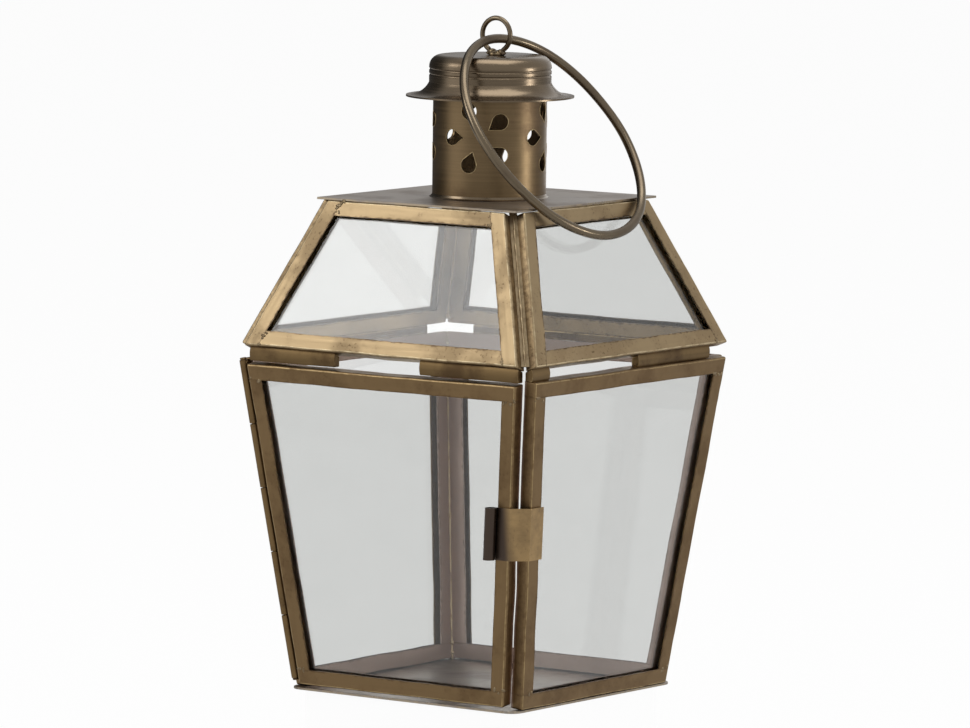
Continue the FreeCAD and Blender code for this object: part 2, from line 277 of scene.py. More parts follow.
@dataclass(frozen=True)
class Metal:
    """A metal finish with tarnish, a grain, dark specks, worn edges partly painted as a highlight,
    and, where set, painted light on its inner faces.
    """

    name: str
    base: Colour
    dark: Colour
    bright: Colour
    roughness: float
    tarnish: float = 0.5
    tarnish_scale: float = 55.0
    grain: tuple[float, float, float] = (30.0, 900.0, 900.0)
    grain_depth: float = 0.22
    specks: float = 0.5
    wear_and_highlight: float = 0.8
    lumps: float = 0.0
    coords: Coords = Coords.FLOW
    metallic: float = 1.0
    black_until: tuple[float, float] | None = None
    grime: float = 0.0
    grime_colour: Colour = srgb(80, 62, 47)
    # Painted light: a lighter colour for the back of a channel's section, standing in for light
    # falling on the faces inside the lantern.
    inside: Colour | None = None
    bump: float = 0.35
    bump_distance: float = 0.12 * MM
    stain_fade: tuple[float, float] = (0.42, 0.68)
    fine_scale: float = 900.0
    speck_fade: tuple[float, float] = (0.60, 0.68)
    speck_patches: tuple[float, float] = (0.40, 0.62)
    edge_scale: float = 240.0
    edge_fade: tuple[float, float] = (0.30, 0.62)
    inside_light_fade: tuple[float, float] = (0.75, 0.95)
    grime_scale: float = 420.0
    grime_ragged: float = 0.55
    lip_fade: tuple[float, float] = (0.90, 1.02)
    fold_reach: float = 0.05
    fold_fade: tuple[float, float] = (-0.02, 0.16)
    fold_grime: float = 0.8
    black_sway: float = 3 * MM
    lump_scale: float = 330.0

    def build(self) -> bpy.types.Material:
        """Make the material.

        Returns:
            The material, ready for a slot.
        """
        material = bpy.data.materials.new(self.name)
        material.use_nodes = True
        g = Graph(material.node_tree)
        if self.coords is Coords.FLOW:
            where = g.attribute("flow", "Vector")
            worn = g.attribute("wear_and_highlight")
        else:
            where = g.object_place()
            worn = where * 0.0
        clouds = g.noise(where, self.tarnish_scale, 4.0, 0.62)
        stain = clouds.step(*self.stain_fade)
        grain = g.noise(g.scaled(where, self.grain), 1.0, 3.0, 0.6)
        fine = g.noise(where, self.fine_scale, 2.0, 0.6)
        speck = fine.step(*self.speck_fade) * clouds.step(*self.speck_patches) * self.specks
        # Worn edges take the bright colour; on the panels' front fold strips this is partly a
        # painted highlight.
        edge = g.noise(where, self.edge_scale, 3.0, 0.7).step(*self.edge_fade) * worn * self.wear_and_highlight

        colour = g.mix(stain * self.tarnish, self.base, self.dark)
        colour = g.mix(speck, colour, self.dark)
        colour = g.scaled(colour, 1.0 + (grain - 0.5) * (2 * self.grain_depth))
        colour = g.mix(edge, colour, self.bright)
        # Painted light: the back of each channel is lightened towards the inside colour.
        if self.inside:
            colour = g.mix(g.attribute("inside").step(*self.inside_light_fade), colour, self.inside)
        if self.grime:
            lip = g.attribute("lip")
            ragged = (g.noise(where, self.grime_scale, 4.0, 0.75) - 0.5) * self.grime_ragged
            at_lip = (lip + ragged).step(*self.lip_fade)
            at_fold = (self.fold_reach - lip + ragged).step(*self.fold_fade) * self.fold_grime
            colour = g.mix((at_lip + at_fold) * self.grime, colour, self.grime_colour)
        if self.black_until:
            place = g.along(g.object_place(), (1, 0, 0)) + clouds * self.black_sway
            colour = g.mix(place.step(*self.black_until), self.dark, colour)
        rough = self.roughness + (stain * 0.10) + (grain - 0.5) * 0.25 - edge * 0.12
        height = (grain - 0.5) * 0.35 + fine * 0.25
        if self.lumps:
            height = height + g.noise(where, self.lump_scale, 3.0, 0.6) * self.lumps
        bump = g.node("ShaderNodeBump", None, {
            "Strength": self.bump, "Distance": self.bump_distance, "Height": height})
        shader = g.node("ShaderNodeBsdfPrincipled", None, {
            "Base Color": colour, "Roughness": rough, "Metallic": self.metallic, "Normal": bump})
        g.end("ShaderNodeOutputMaterial", shader)
        return material


@dataclass(frozen=True)
class WindowGlass:
    """Clear old window glass with faint smears."""

    name: str = "window_glass"
    tint: Colour = (0.792, 0.798, 0.790)
    roughness: float = 0.0
    stretch: tuple[float, float, float] = (1.0, 1.0, 2.2)
    smear_scale: float = 34.0
    smear_fade: tuple[float, float] = (0.45, 0.75)
    smear: float = 0.35
    smear_shade: float = 0.95

    def build(self) -> bpy.types.Material:
        """Make the material.

        Returns:
            The material, ready for a slot.
        """
        material = bpy.data.materials.new(self.name)
        material.use_nodes = True
        g = Graph(material.node_tree)
        smears = g.noise(g.scaled(g.object_place(), self.stretch), self.smear_scale, 4.0, 0.6)
        colour = g.mix(smears.step(*self.smear_fade) * self.smear, self.tint,
                       tuple(c * self.smear_shade for c in self.tint))
        shader = g.node("ShaderNodeBsdfPrincipled", None, {
            "Base Color": colour, "Roughness": self.roughness, "IOR": 1.5,
            "Transmission Weight": 1.0})
        g.end("ShaderNodeOutputMaterial", shader)
        return material


@dataclass(frozen=True)
class Paper:
    """The studio's white: plain paper that looks white to the camera, and pale in reflections."""

    name: str = "studio_white"
    white: float = 0.94
    pale: float = 0.58
    far_shade: float = 0.36
    far_from: tuple[float, float] = (0.8, 1.6)
    colour: Colour = (0.90, 0.90, 0.90)

    def build(self) -> bpy.types.Material:
        """Make the material.

        Returns:
            The material, ready for a slot.
        """
        material = bpy.data.materials.new(self.name)
        material.use_nodes = True
        g = Graph(material.node_tree)
        seen = seen_rays(g)
        plain = g.node("ShaderNodeBsdfDiffuse", None, {"Color": (*self.colour, 1)})
        place = g.object_place()
        away = g.node("ShaderNodeVectorMath", {"operation": "NORMALIZE"}, {0: place})
        reach = g.node("ShaderNodeVectorMath", {"operation": "LENGTH"}, {0: place}, "Value")
        far = reach.step(*self.far_from)
        pale = g.mix(far, (self.pale,) * 3, room_shade(g, away, self.far_shade))
        shade = g.mix(mirrored_rays(g), (1, 1, 1), pale)
        glow = g.node("ShaderNodeEmission", None, {"Color": shade, "Strength": 1.0})
        both = g.node("ShaderNodeMixShader", None, {0: seen * self.white, 1: plain, 2: glow})
        g.end("ShaderNodeOutputMaterial", both)
        return material


def seen_rays(g: Graph) -> Sock:
    """Pick out the rays that see the room.

    Args:
        g: The graph.

    Returns:
        1 for rays from the camera, off metal or through glass, and 0 for the rest.
    """
    rays = [g.node("ShaderNodeLightPath", None, None, name)
            for name in ("Is Camera Ray", "Is Glossy Ray", "Is Transmission Ray")]
    return g.math("MAXIMUM", g.math("MAXIMUM", rays[0], rays[1]), rays[2])


def mirrored_rays(g: Graph) -> Sock:
    """Pick out the rays that were mirrored.

    Args:
        g: The graph.

    Returns:
        1 for rays off metal or glass, and 0 for the rest, rays through glass among them.
    """
    glossy, through = (g.node("ShaderNodeLightPath", None, None, name)
                       for name in ("Is Glossy Ray", "Is Transmission Ray"))
    return g.math("MAXIMUM", glossy - through, 0.0)


class Wall(Enum):
    """What stands round the studio.

    Each has its direction, the cosines to it where it starts and is full, and how pale it is.
    """

    BACKDROP = ((-0.577, 0.811, -0.098), 0.75, 0.92, 1.0)
    DARK_CORNER = ((-0.97, 0.24, 0.0), 0.60, 0.86, 0.05)
    PALE_CORNER = ((-0.568, -0.823, 0.0), 0.90, 0.98, 0.95)


def room_shade(g: Graph, direction: Sock, plain: float) -> Sock:
    """The paleness of the room that metal and glass reflect.

    Args:
        g: The graph.
        direction: Which way the reflection looks.
        plain: How pale the rest of the room is.

    Returns:
        A grey.
    """
    shade: Sock | Colour = (plain,) * 3
    for wall in Wall:
        towards, start, full, pale = wall.value
        shade = g.mix(g.along(direction, towards).step(start, full), shade, (pale,) * 3)
    return shade


class Finish(Enum):
    """The lantern's finishes."""

    # Painted light: the roof brass is the body brass made lighter, standing in for the light that
    # the roof's upward-tilted frames catch.
    ROOF = Metal("aged_roof_brass",
                 srgb(170, 148, 114), srgb(112, 92, 68), srgb(228, 210, 172), 0.40,
                 tarnish=0.30, grain_depth=0.10, specks=0.9, wear_and_highlight=0.8, grime=0.75)
    # Body brass: its inside colour is painted light on the channels' back faces.
    BODY = Metal("aged_body_brass",
                 srgb(136, 112, 80), srgb(92, 70, 48), srgb(196, 170, 124), 0.38,
                 tarnish=0.45, grain_depth=0.12, specks=0.35, wear_and_highlight=0.75, grime=0.5,
                 inside=srgb(184, 163, 151))
    SPACER = Metal("aged_spacer_bronze",
                   srgb(124, 102, 70), srgb(74, 55, 40), srgb(200, 176, 132), 0.40,
                   tarnish=0.6, wear_and_highlight=0.7)
    PLATE = Metal("aged_plate_brass",
                  srgb(166, 156, 146), srgb(122, 110, 102), srgb(190, 172, 142), 0.34,
                  tarnish=0.6, grain=(60.0, 60.0, 60.0), grain_depth=0.12, specks=0.3, wear_and_highlight=0.6)
    CHIMNEY = Metal("aged_chimney_bronze",
                    srgb(128, 108, 80), srgb(92, 72, 58), srgb(220, 196, 150), 0.34,
                    tarnish=0.5, tarnish_scale=40.0, grain=(14.0, 14.0, 1300.0), grain_depth=0.26,
                    specks=0.1, coords=Coords.OBJECT)
    CAP = Metal("aged_cap_bronze",
                srgb(126, 111, 92), srgb(88, 74, 60), srgb(220, 196, 150), 0.25,
                tarnish=0.5, tarnish_scale=45.0, grain=(16.0, 16.0, 1700.0), grain_depth=0.12,
                specks=0.1, coords=Coords.OBJECT, bump=0.08)
    RING = Metal("aged_ring_gunmetal",
                 srgb(124, 111, 92), srgb(88, 74, 63), srgb(190, 168, 132), 0.25,
                 tarnish=0.5, grain=(110.0, 110.0, 110.0), grain_depth=0.14, specks=0.25, bump=0.2)
    CLIP = Metal("aged_clip_bronze",
                 srgb(182, 152, 108), srgb(84, 72, 64), srgb(220, 196, 150), 0.32,
                 tarnish=0.35, grain=(700.0, 700.0, 30.0), grain_depth=0.2, specks=0.3, wear_and_highlight=0.5,
                 black_until=(0.0515, 0.0565))
    HINGE = Metal("aged_hinge_brass",
                  srgb(132, 108, 74), srgb(80, 60, 44), srgb(212, 188, 142), 0.38)
    # Painted highlight: the vent rims are much lighter brass, partly bare cut metal and partly the
    # highlight that the rims catch.
    VENT_RIM_HIGHLIGHT = Metal("vent_rim_brass_highlight",
                      srgb(196, 174, 132), srgb(130, 106, 76), srgb(240, 224, 186), 0.34,
                      tarnish=0.4, wear_and_highlight=0.0)
    SOLDER = Metal("bright_solder",
                   srgb(196, 176, 142), srgb(136, 110, 80), srgb(250, 242, 224), 0.30,
                   tarnish=0.5, tarnish_scale=300.0, specks=0.4, lumps=0.6, wear_and_highlight=0.5)
    DULL_SOLDER = Metal("dull_solder",
                        srgb(150, 132, 104), srgb(100, 82, 62), srgb(214, 196, 164), 0.36,
                        tarnish=0.6, tarnish_scale=300.0, specks=0.5, lumps=0.6, wear_and_highlight=0.5)
    GLASS = WindowGlass()
    PAPER = Paper()

    @property
    def material(self) -> bpy.types.Material:
        """The finish's one material, made when it is first asked for."""
        return bpy.data.materials.get(self.value.name) or self.value.build()


@dataclass(frozen=True)
class Slot:
    """What a new piece belongs to."""

    body: str
    slot: str


LANTERN_SOLDER = Slot("lantern", "solder")


def longest_direction(bm: bmesh.types.BMesh) -> Vector:
    """Find which way a long piece runs.

    Args:
        bm: The mesh.

    Returns:
        The direction of its longest edge.
    """
    edge = max(bm.edges, key=lambda e: e.calc_length())
    return (edge.verts[1].co - edge.verts[0].co).normalized()


def face_width(face: bmesh.types.BMFace) -> float:
    """Estimate how wide a long face is.

    Args:
        face: The face.

    Returns:
        Its area over its longest edge.
    """
    return face.calc_area() / max(e.calc_length() for e in face.edges)


def front_face(bm: bmesh.types.BMesh) -> bmesh.types.BMFace:
    """Find the face that a panel's piece shows to the outside.

    Args:
        bm: The mesh.

    Returns:
        The largest face that looks away from the lantern's upright axis.
    """
    middle = sum((v.co for v in bm.verts), Vector()) / len(bm.verts)
    away = Vector((middle.x, middle.y, 0))
    return max((f for f in bm.faces if f.normal.dot(away) > 0), key=lambda f: f.calc_area())


def cad_copy(node: str) -> bmesh.types.BMesh:
    """A merged copy of a CAD node's mesh, with its flat faces whole.

    Args:
        node: The node's name.

    Returns:
        The copy.
    """
    bm = bmesh.new()
    bm.from_mesh(frame["nodes"][node].data)
    bmesh.ops.remove_doubles(bm, verts=bm.verts, dist=0.001 * MM)
    bmesh.ops.dissolve_limit(bm, angle_limit=math.radians(0.5), verts=bm.verts, edges=bm.edges)
    return bm


def islands(bm: bmesh.types.BMesh) -> list[list[bmesh.types.BMVert]]:
    """Find the separate solids of a mesh, in the order of their first vertices.

    Args:
        bm: The mesh.

    Returns:
        The vertices of each.
    """
    left = dict.fromkeys(bm.verts)
    found = []
    while left:
        first = next(iter(left))
        del left[first]
        stack = [first]
        island = []
        while stack:
            vert = stack.pop()
            island.append(vert)
            for edge in vert.link_edges:
                other = edge.other_vert(vert)
                if other in left:
                    del left[other]
                    stack.append(other)
        found.append(island)
    return found


def round_edges(bm: bmesh.types.BMesh, fold: float, lip: float, front: Vector | None = None,
                inner_fold: float = 0.0, wide: float = 2 * MM) -> None:
    """Round the folded edges of a sheet piece and break the edges of its lips.

    Args:
        bm: The mesh.
        fold: The radius of a fold.
        lip: The chamfer of a cut edge.
        front: Which way the piece looks, if its inner folds are rounded otherwise.
        inner_fold: The radius of its inner folds.
        wide: Faces wider than this meet in a fold.
    """
    def sharp() -> list[bmesh.types.BMEdge]:
        """The edges that stand out."""
        return [e for e in bm.edges
                if e.is_manifold and e.is_convex and e.calc_face_angle() > SHARP_TURN]

    def folds(inner: bool) -> list[bmesh.types.BMEdge]:
        """The edges where wide faces meet, at the inner side or elsewhere."""
        def looks_in(edge: bmesh.types.BMEdge) -> bool:
            """Whether the edge borders the back of the piece."""
            return front is not None and any(f.normal.dot(front) < -0.9 for f in edge.link_faces)

        return [e for e in sharp()
                if all(face_width(f) > wide for f in e.link_faces) and inner == looks_in(e)]

    def cut_edges() -> list[bmesh.types.BMEdge]:
        """The edges that no fold has rounded yet."""
        return [e for e in sharp() if not any(f in made for f in e.link_faces)]

    made = set()
    for find, size, segments in ((lambda: folds(False), fold, 3),
                                 (lambda: folds(True), inner_fold, 2), (cut_edges, lip, 1)):
        edges = find()
        if edges and size > 0:
            result = bmesh.ops.bevel(bm, geom=edges, offset=size, segments=segments, profile=0.5,
                                     affect="EDGES", clamp_overlap=True, material=-1)
            made.update(f for f in result["faces"] if f.is_valid)


def slice_along(bm: bmesh.types.BMesh, along: Vector, step: float) -> None:
    """Cut a long piece across, so that it can be bent slightly.

    Args:
        bm: The mesh.
        along: Its long direction.
        step: The distance between cuts.
    """
    reach = [v.co.dot(along) for v in bm.verts]
    low, high = min(reach), max(reach)
    count = int((high - low) / step)
    for index in range(1, count):
        at = along * (low + (high - low) * index / count)
        geometry = bm.verts[:] + bm.edges[:] + bm.faces[:]
        bmesh.ops.bisect_plane(bm, geom=geometry, dist=0.002 * MM, plane_co=at, plane_no=along)


def wobble(bm: bmesh.types.BMesh, size: float, wave: float) -> None:
    """Move every vertex by smooth noise, so that neighbours move together.

    Args:
        bm: The mesh.
        size: The largest move.
        wave: The distance over which the noise changes.
    """
    for vert in bm.verts:
        vert.co += noise.noise_vector(vert.co / wave) * size


def mark_wear_and_highlight(bm: bmesh.types.BMesh, narrow: float = 0.6 * MM, front: Vector | None = None,
              strip: tuple[float, float] = (0.8, 0.999), elsewhere: float = 0.15) -> None:
    """Mark narrow faces as worn edges, and on a panel also as a painted highlight along the front
    of its folds.

    Args:
        bm: The mesh.
        narrow: Faces narrower than this are edges.
        front: Which way the piece looks, if only the first strip of its front folds gets the full
            mark, which is partly worn edge and partly painted highlight.
        strip: Between which cosines to the front that strip lies.
        elsewhere: The share of the mark on the other edges.
    """
    layer = bm.loops.layers.float.get("wear_and_highlight") or bm.loops.layers.float.new("wear_and_highlight")
    for face in bm.faces:
        worn = 1.0 if face_width(face) < narrow else 0.0
        # Painted highlight: on a panel, only the strip that faces nearly front keeps the full
        # bright mark.
        if front is not None and not strip[0] < face.normal.dot(front) < strip[1]:
            worn *= elsewhere
        for loop in face.loops:
            loop[layer] = worn


def mark_section(bm: bmesh.types.BMesh, along: Vector, front: Vector) -> None:
    """Write where each vertex lies in a channel's section.

    The attribute "lip" runs from 0 at the channel's outer fold to 1 at its lip on the glass, and
    "inside" from 0 at its front to 1 at its back, where the body brass paints light.

    Args:
        bm: The mesh.
        along: The channel's long direction.
        front: Which way it looks.
    """
    middle = sum((v.co for v in bm.verts), Vector()) / len(bm.verts)
    across = along.cross(front).normalized()
    inwards = Vector((0, 0, PANEL_MIDDLE[middle.z > EAVES_Z])) - middle
    if across.dot(inwards - front * inwards.dot(front)) < 0:
        across.negate()
    for name, way in (("lip", across), ("inside", -front)):
        layer = bm.verts.layers.float.new(name)
        reach = [v.co.dot(way) for v in bm.verts]
        low, high = min(reach), max(reach)
        for vert, at in zip(bm.verts, reach):
            vert[layer] = (at - low) / (high - low)


def mark_flow(bm: bmesh.types.BMesh, along: Vector, shift: float) -> None:
    """Write each vertex's place along and across the piece, which the grain follows.

    Args:
        bm: The mesh.
        along: The piece's long direction.
        shift: An offset that gives each piece its own patterns.
    """
    layer = bm.verts.layers.float_vector.new("flow")
    side = along.cross(UP if abs(along.z) < 0.8 else Vector((1, 0, 0))).normalized()
    out = along.cross(side)
    for vert in bm.verts:
        vert[layer] = (vert.co.dot(along) + shift, vert.co.dot(side), vert.co.dot(out))


def piece(bm: bmesh.types.BMesh, name: str, finish: Finish, slot: Slot, sharp: float = 35.0,
          replaces: Iterable[str] = ()) -> bpy.types.Object:
    """Turn a mesh into a dressed piece of the lantern.

    Args:
        bm: The mesh, which is used up.
        name: The piece's name.
        finish: Its material.
        slot: Its body, to which it is attached.
        sharp: Edges that turn by more than this many degrees stay sharp.
        replaces: The CAD nodes that it stands for.

    Returns:
        The object.
    """
    if "wear_and_highlight" not in bm.loops.layers.float:
        mark_wear_and_highlight(bm, 0.0)
    if "flow" not in bm.verts.layers.float_vector:
        mark_flow(bm, longest_direction(bm), len(bpy.data.objects) * 0.137)
    for face in bm.faces:
        face.smooth = True
    for edge in bm.edges:
        edge.smooth = not (edge.is_manifold and edge.calc_face_angle() > math.radians(sharp))
    mesh = bpy.data.meshes.new(name)
    bm.to_mesh(mesh)
    bm.free()
    mesh.materials.append(finish.material)
    obj = bpy.data.objects.new(name, mesh)
    bpy.context.scene.collection.objects.link(obj)
    even = obj.modifiers.new("even_normals", "WEIGHTED_NORMAL")
    even.keep_sharp = True
    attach(obj, slot.body)
    if replaces:
        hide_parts(*replaces)
    LOG.info("%s: %d faces on %s", name, len(mesh.polygons), slot.body)
    return obj


def tube_along(bm: bmesh.types.BMesh, points: Sequence[Vector], radius: Callable[[float], float],
               closed: bool = False, segments: int = 10) -> None:
    """Add a round bar along a line of points.

    Args:
        bm: The mesh to add to.
        points: The middle of the bar, point by point.
        radius: The radius at a share of the way along.
        closed: Whether the bar ends where it starts.
        segments: The corners of its section.
    """
    count = len(points)
    rings = []
    for index, at in enumerate(points):
        before = points[index - 1] if index or closed else at
        after = points[(index + 1) % count] if index < count - 1 or closed else at
        turn = (after - before).to_track_quat("Z", "Y").to_matrix().to_4x4()
        made = bmesh.ops.create_circle(bm, segments=segments, radius=radius(index / count),
                                       matrix=Matrix.Translation(at) @ turn)
        rings.append([v for v in made["verts"]])
    pairs = list(zip(rings, rings[1:])) + ([(rings[-1], rings[0])] if closed else [])
    for first, second in pairs:
        edges = [e for ring in (first, second) for e in ring_edges(ring)]
        bmesh.ops.bridge_loops(bm, edges=edges)
    if not closed:
        for ring in (rings[0], rings[-1]):
            bmesh.ops.contextual_create(bm, geom=ring_edges(ring))


def ring_edges(ring: Sequence[bmesh.types.BMVert]) -> list[bmesh.types.BMEdge]:
    """Find the edges that join the vertices of a ring.

    Args:
        ring: The vertices.

    Returns:
        The edges, in no special order.
    """
    inside = set(ring)
    return list({e for v in ring for e in v.link_edges if e.other_vert(v) in inside})


def blob(bm: bmesh.types.BMesh, at: Vector, size: Sequence[float], rough: float = 0.25) -> None:
    """Add a lump of solder.

    Args:
        bm: The mesh to add to.
        at: Its middle.
        size: Its half sizes along X, Y and Z.
        rough: How uneven it is, as a share of its size.
    """
    made = bmesh.ops.create_icosphere(bm, subdivisions=2, radius=1.0)
    for vert in made["verts"]:
        swell = 1 + rough * noise.noise(vert.co * 1.7 + at / MM)
        vert.co = at + Vector(c * s * swell for c, s in zip(vert.co, size))


@dataclass
class GlazedPanel:
    """A pane in four folded channels."""

    name: str
    slot: Slot
    finish: Finish
    parts: tuple[str, ...] = ("bottom_rail", "top_rail", "left_stile", "right_stile")
    fold: float = 0.7 * MM
    inner_fold: float = 0.12 * MM
    lip: float = 0.12 * MM
    slice_step: float = 3.2 * MM
    bend: float = 0.22 * MM
    bend_wave: float = 16 * MM
    nick: float = 0.07 * MM
    nick_wave: float = 2.6 * MM

    def channel(self, part: str) -> bpy.types.Object:
        """Replace one channel by a folded one with soft, worn edges and a painted highlight along
        its front folds.

        Args:
            part: Which rail or stile it is.

        Returns:
            The folded channel.
        """
        node = f"{self.name}_{part}"
        bm = cad_copy(node)
        along = longest_direction(bm)
        front = front_face(bm).normal.copy()
        round_edges(bm, self.fold, self.lip, front, self.inner_fold)
        # Worn edges, with a painted highlight on the front strip of each fold.
        mark_wear_and_highlight(bm, front=front)
        mark_section(bm, along, front)
        slice_along(bm, along, self.slice_step)
        mark_flow(bm, along, len(node) * 0.31 + len(bpy.data.objects) * 0.137)
        wobble(bm, self.bend, self.bend_wave)
        wobble(bm, self.nick, self.nick_wave)
        return piece(bm, f"{node}_folded", self.finish, self.slot, replaces=[node])

    def build(self) -> None:
        """Dress the channels and the pane."""
        for part in self.parts:
            self.channel(part)
        dress_node(f"{self.name}_pane", Finish.GLASS)


def dress_node(node: str, finish: Finish) -> None:
    """Give a CAD node its finish.

    Args:
        node: The node's name.
        finish: The finish.
    """
    mesh = frame["nodes"][node].data
    mesh.materials.clear()
    mesh.materials.append(finish.material)
    LOG.info("%s: CAD node in %s", node, finish.value.name)


@dataclass
class SoftCopy:
    """A CAD node with its edges broken and its faces slightly bent."""

    node: str
    finish: Finish
    slot: Slot
    fold: float = 0.15 * MM
    lip: float = 0.1 * MM
    bend: float = 0.15 * MM
    bend_wave: float = 14 * MM
    slice_step: float = 0.0
    worn: bool = True
    name: str = ""

    def build(self) -> bpy.types.Object:
        """Make the copy, which stands for its node."""
        bm = cad_copy(self.node)
        along = longest_direction(bm)
        round_edges(bm, self.fold, self.lip)
        mark_wear_and_highlight(bm, 0.6 * MM if self.worn else 0.0)
        if self.slice_step:
            slice_along(bm, along, self.slice_step)
        mark_flow(bm, along, len(self.node) * 0.37)
        wobble(bm, self.bend, self.bend_wave)
        return piece(bm, self.name or f"{self.node}_soft", self.finish, self.slot,
                     replaces=[self.node])


@dataclass
class SolderedSeams:
    """The solder in the corners of body and roof: flat fillings with fine bright beads."""

    radius: float = 0.42 * MM
    step: float = 1.1 * MM
    uneven: float = 0.9
    sway: float = 0.22 * MM
    lump: float = 1.5 * MM
    lump_places: tuple[float, ...] = (0.02, 0.05, 0.97)
    lump_uneven: float = 0.5

    def line(self, island: Sequence[bmesh.types.BMVert], outer: bool) -> list[Vector]:
        """Find where a filling's bead runs.

        Args:
            island: The filling's vertices.
            outer: Whether the bead is on its outer side.

        Returns:
            The low and the high end.
        """
        middle = sum(v.co.z for v in island) / len(island)
        ends = []
        for above in (False, True):
            group = [v.co for v in island if (v.co.z > middle) == above]
            group.sort(key=lambda at: math.hypot(at.x, at.y), reverse=outer)
            ends.append((group[0] + group[1]) / 2 if outer or len(group) > 3 else group[0].copy())
        return ends

    def seam(self, node: str, finish: Finish) -> None:
        """Dress a node's strips and lay beads of solder on them.

        Args:
            node: The node's name.
            finish: The finish of its strips.
        """
        SoftCopy(node, finish, LANTERN_SOLDER, fold=0, lip=0, bend=0.1 * MM, slice_step=3 * MM,
                 worn=False).build()
        bm = bmesh.new()
        source = cad_copy(node)
        for island in islands(source):
            for outer in (True, False):
                start, end = self.line(island, outer)
                self.bead(bm, start, end)
            for share in self.lump_places:
                at = start.lerp(end, share)
                size = self.lump * (0.6 + 0.5 * noise.noise(at / MM + UP * share * 9))
                blob(bm, at, [size] * 3, self.lump_uneven)
        source.free()
        piece(bm, f"{node}_beads", Finish.SOLDER, LANTERN_SOLDER, sharp=80)

    def bead(self, bm: bmesh.types.BMesh, start: Vector, end: Vector) -> None:
        """Add one bead along a line.

        Args:
            bm: The mesh to add to.
            start: Where it starts.
            end: Where it ends.
        """
        count = int((end - start).length / self.step)
        points = []
        for index in range(count + 1):
            at = start.lerp(end, index / count)
            points.append(at + noise.noise_vector(at / (3 * MM)) * self.sway)
        tube_along(bm, points, lambda share: self.radius * (
            1 + self.uneven * noise.noise(start.lerp(end, share) / (2.2 * MM))), segments=8)

    def build(self) -> None:
        """Dress all seams."""
        self.seam("body_corner_solder", Finish.DULL_SOLDER)
        self.seam("roof_hip_solder", Finish.DULL_SOLDER)


@dataclass
class SolderSpots:
    """The spots of solder where a panel's rails and stiles meet."""

    panel: GlazedPanel
    rails_run_through: bool
    count: tuple[int, int] = (2, 7)
    spread: float = 0.5 * MM
    size: float = 0.55 * MM
    sizes: tuple[float, float] = (0.4, 1.1)
    stretches: tuple[float, float] = (0.8, 2.2)
    flat: float = 0.45
    uneven: float = 0.4

    def build(self) -> None:
        """Spatter solder along the four joints on the panel's outer face."""
        draw = random.Random(self.panel.name)
        bm = bmesh.new()
        for part in self.panel.parts:
            if part.endswith("stile") != self.rails_run_through:
                continue
            source = cad_copy(f"{self.panel.name}_{part}")
            face = front_face(source)
            along = longest_direction(source)
            corners = sorted((v.co for v in face.verts), key=lambda at: at.dot(along))
            for joint in (corners[:2], corners[-2:]):
                for _ in range(draw.randint(*self.count)):
                    at = joint[0].lerp(joint[1], draw.random())
                    at = at + along * draw.gauss(0, self.spread)
                    self.spot(bm, at, face.normal, draw)
            source.free()
        piece(bm, f"{self.panel.name}_solder_spots", Finish.DULL_SOLDER,
              Slot(self.panel.slot.body, "solder"), sharp=80)

    def spot(self, bm: bmesh.types.BMesh, at: Vector, out: Vector, draw: random.Random) -> None:
        """Add one flat spot.

        Args:
            bm: The mesh to add to.
            at: Its middle.
            out: Which way the face under it looks.
            draw: The seeded randomness.
        """
        size = self.size * draw.uniform(*self.sizes)
        made = bmesh.ops.create_icosphere(bm, subdivisions=2, radius=1.0)
        turn = out.to_track_quat("Z", "Y")
        stretch = draw.uniform(*self.stretches)
        spin = Matrix.Rotation(draw.uniform(0, math.pi), 3, "Z")
        for vert in made["verts"]:
            local = spin @ Vector((vert.co.x * stretch, vert.co.y, vert.co.z * self.flat))
            swell = 1 + self.uneven * noise.noise(local * 2 + at / MM)
            vert.co = at + turn @ local * size * swell


@dataclass
class Hinge:
    """The door's hinge in the corner groove."""

    def build(self) -> None:
        """Dress knuckles and pin."""
        lantern, door = Slot("lantern", "hinge_brass"), Slot("door", "hinge_brass")
        SoftCopy("frame_knuckles", Finish.HINGE, lantern, bend=0.0, worn=False).build()
        SoftCopy("door_knuckles", Finish.HINGE, door, bend=0.0, worn=False).build()
        SoftCopy("hinge_pin", Finish.HINGE, lantern, bend=0.0, worn=False).build()


@dataclass
class Chimney:
    """Top plate, tube with its vents, collar and cap."""

    burr: float = 0.17 * MM
    off_wall: float = 0.05 * MM

    def burrs(self) -> None:
        """Add the burrs round the vent holes of the tube, whose light brass is partly bare cut
        metal and partly a painted highlight.
        """
        bm = cad_copy("chimney_tube")
        low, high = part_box("chimney_tube")
        middle = (low + high) / 2
        radius = (high.x - low.x) / 2

        def on_wall(vert: bmesh.types.BMVert) -> bool:
            """Whether a vertex lies on the tube's outside, clear of its ends."""
            out = math.hypot(vert.co.x - middle.x, vert.co.y - middle.y)
            return abs(out - radius) < self.off_wall and low.z + MM < vert.co.z < high.z - MM

        rims = [e for e in bm.edges if e.is_manifold and e.calc_face_angle() > SHARP_TURN
                and all(on_wall(v) for v in e.verts)]
        loops = edge_loops(rims)
        made = bmesh.new()
        for loop in loops:
            tube_along(made, loop, lambda share: self.burr * (0.8 + 0.4 * noise.noise(
                loop[int(share * len(loop))] / MM)), closed=True, segments=6)
        bm.free()
        piece(made, "vent_burrs", Finish.VENT_RIM_HIGHLIGHT, Slot("lantern", "chimney_bronze"), sharp=80)

    def build(self) -> None:
        """Dress the chimney's pieces."""
        SoftCopy("top_plate", Finish.PLATE, Slot("lantern", "plate_brass"), bend=0.25 * MM).build()
        dress_node("chimney_tube", Finish.CHIMNEY)
        dress_node("chimney_collar", Finish.CAP)
        dress_node("chimney_cap", Finish.CAP)
        self.burrs()


